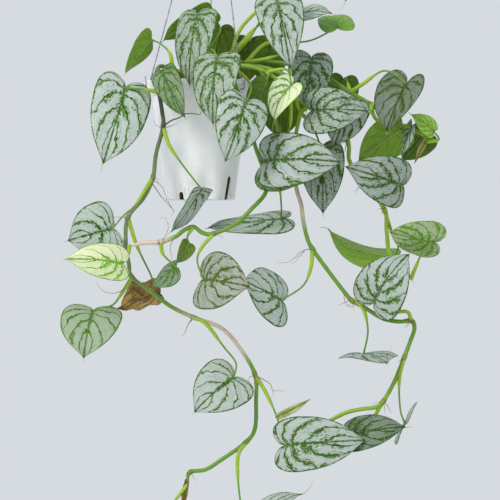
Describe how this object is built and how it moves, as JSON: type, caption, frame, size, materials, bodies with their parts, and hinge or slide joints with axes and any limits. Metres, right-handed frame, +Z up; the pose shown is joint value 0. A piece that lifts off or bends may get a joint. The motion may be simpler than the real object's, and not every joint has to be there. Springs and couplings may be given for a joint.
{
  "type": "hanging potted philodendron",
  "caption": "Trailing plant with heart-shaped, silver-marked leaves in a small white slotted pot that hangs by thin wires from a steel hook.",
  "frame": {"origin": "inner top of the hook's bend, the point that the whole plant hangs from", "axes": "+Z up, +X to the viewer's right in the picture, +Y away from the viewer"},
  "size_m": [0.3814, 0.2181, 0.755],
  "materials": {
    "leaf_green": "living leaf and stem, satin, silver-marked green",
    "white_plastic": "moulded white plastic, satin",
    "galvanised_steel": "dull zinc-coated wire",
    "potting_mix": "damp bark and fibre mix"
  },
  "bodies": {
    "root": {"vine_left": "leaf_green", "vine_middle": "leaf_green", "vine_right": "leaf_green", "vine_outer": "leaf_green", "vine_upper": "leaf_green", "shoot_left": "leaf_green", "shoot_front": "leaf_green", "shoot_top": "leaf_green", "shoot_right": "leaf_green", "shoot_back": "leaf_green", "wire_left": "galvanised_steel", "wire_back": "galvanised_steel", "wire_right": "galvanised_steel", "hanger_hook": "galvanised_steel", "pot": "white_plastic", "hanger_cap": "white_plastic", "potting_mix": "potting_mix"}
  },
  "joints": []
}
